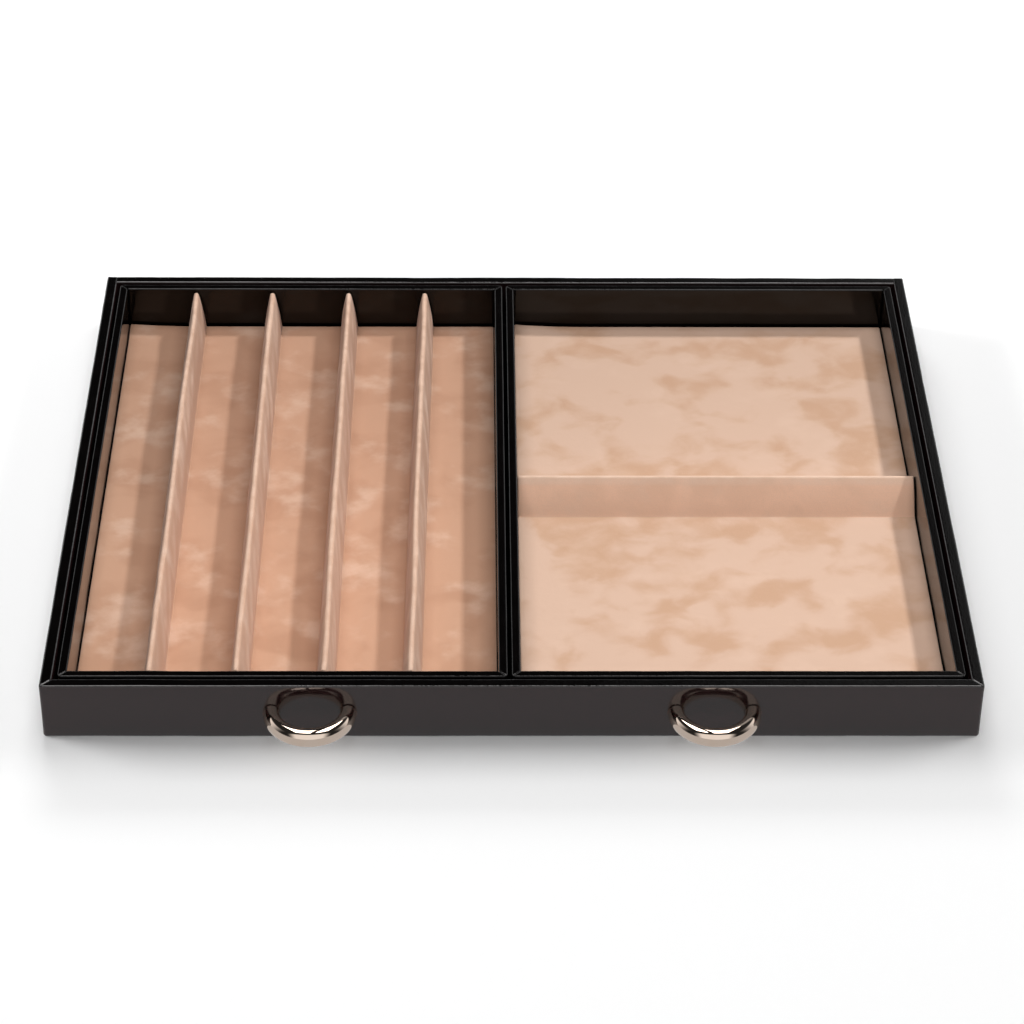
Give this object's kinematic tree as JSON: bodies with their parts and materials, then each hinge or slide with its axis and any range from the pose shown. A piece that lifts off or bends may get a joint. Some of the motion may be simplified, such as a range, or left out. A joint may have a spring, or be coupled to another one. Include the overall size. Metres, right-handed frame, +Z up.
{
  "type": "jewellery chest drawer",
  "caption": "Shallow leather-wrapped jewellery drawer with half-ring pulls, holding a pleated suede tray and a divided suede tray that lift out.",
  "frame": {"origin": "middle of the drawer's underside, on the surface it stands on", "axes": "+Z up, +X to the right as seen from the front, front face with the pulls towards -Y"},
  "size_m": [0.3, 0.255, 0.021],
  "materials": {
    "black_leather": "smooth, thin gloss coat over a fine grain",
    "board": "plain fibreboard",
    "card": "plain greyboard",
    "black_lining": "matt black lining paper",
    "nickel": "polished nickel plate",
    "screw_steel": "plain steel",
    "left_suede": "beige suede, soft mottled nap",
    "right_suede": "pale beige suede, soft mottled nap"
  },
  "bodies": {
    "drawer": {"front_leather": "black_leather", "back_leather": "black_leather", "left_leather": "black_leather", "right_leather": "black_leather", "front_board": "board", "back_board": "board", "left_board": "board", "right_board": "board", "base_board": "board", "drawer_lining": "black_lining", "underside_lining": "black_lining", "left_pull": "nickel", "right_pull": "nickel", "pull_screw_1": "screw_steel", "pull_screw_2": "screw_steel", "pull_screw_3": "screw_steel", "pull_screw_4": "screw_steel"},
    "left_tray": {"left_tray_card": "card", "left_tray_front_board": "board", "left_tray_front_leather": "black_leather", "left_tray_back_board": "board", "left_tray_back_leather": "black_leather", "left_tray_left_board": "board", "left_tray_left_leather": "black_leather", "left_tray_right_board": "board", "left_tray_right_leather": "black_leather", "left_floor_card": "card", "left_suede": "left_suede", "pleat_core_1": "card", "pleat_core_2": "card", "pleat_core_3": "card", "pleat_core_4": "card"},
    "right_tray": {"right_tray_card": "card", "right_tray_front_board": "board", "right_tray_front_leather": "black_leather", "right_tray_back_board": "board", "right_tray_back_leather": "black_leather", "right_tray_left_board": "board", "right_tray_left_leather": "black_leather", "right_tray_right_board": "board", "right_tray_right_leather": "black_leather", "right_floor_card": "card", "right_suede": "right_suede", "divider_core": "card"}
  },
  "joints": [
    {"name": "left_tray_lift", "type": "slide", "parent": "drawer", "child": "left_tray", "axis": [0, 0, 1], "range_m": [0, 0.025]},
    {"name": "right_tray_lift", "type": "slide", "parent": "drawer", "child": "right_tray", "axis": [0, 0, 1], "range_m": [0, 0.025]}
  ]
}
